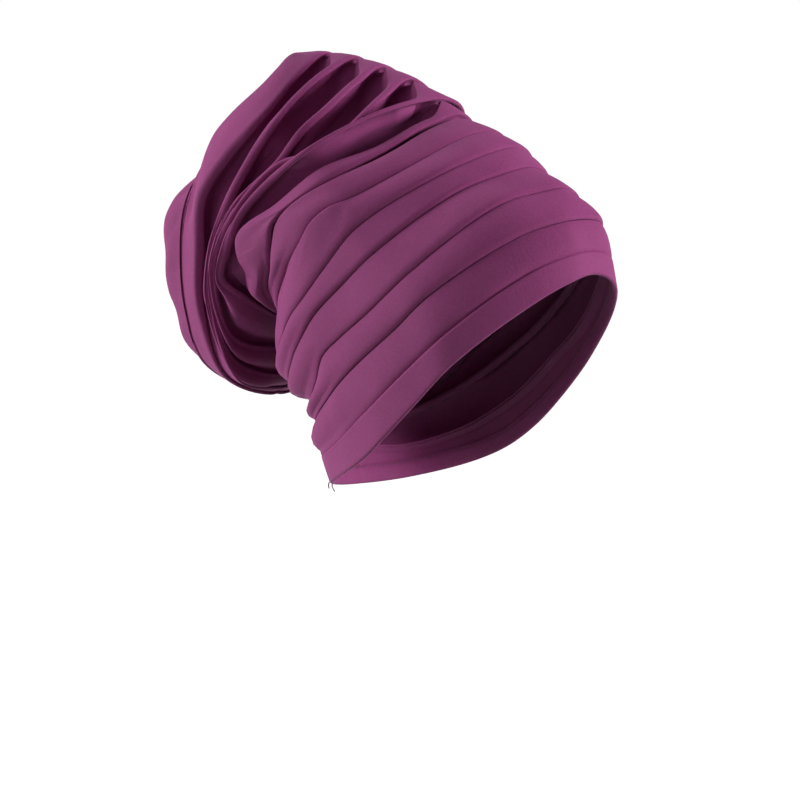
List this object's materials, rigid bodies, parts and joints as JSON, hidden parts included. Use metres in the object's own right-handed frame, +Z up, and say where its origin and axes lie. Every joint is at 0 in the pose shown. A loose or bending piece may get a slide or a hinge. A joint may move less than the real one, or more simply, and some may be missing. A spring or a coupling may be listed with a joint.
{
  "type": "turban cap",
  "caption": "Soft pleated turban cap in its worn form: a plain brow band, swept pleats over the crown and a full gathered bag behind the head.",
  "frame": {"origin": "centre of the head opening, midway between the front hem over the brow and the hem at the nape, on the mid-plane", "axes": "+Z up on an upright head, the wearer looks along -Y so the back bag reaches towards +Y, +X is the wearer's left side"},
  "size_m": [0.1668, 0.3181, 0.2771],
  "materials": {
    "brow_band": "plain matt purple stretch knit with a faint sheen",
    "pleated_crown": "plain matt purple stretch knit with a faint sheen",
    "back_bag": "plain matt purple stretch knit with a faint sheen"
  },
  "bodies": {
    "root": {"brow_band": "brow_band", "pleated_crown": "pleated_crown", "back_bag": "back_bag"}
  },
  "joints": []
}
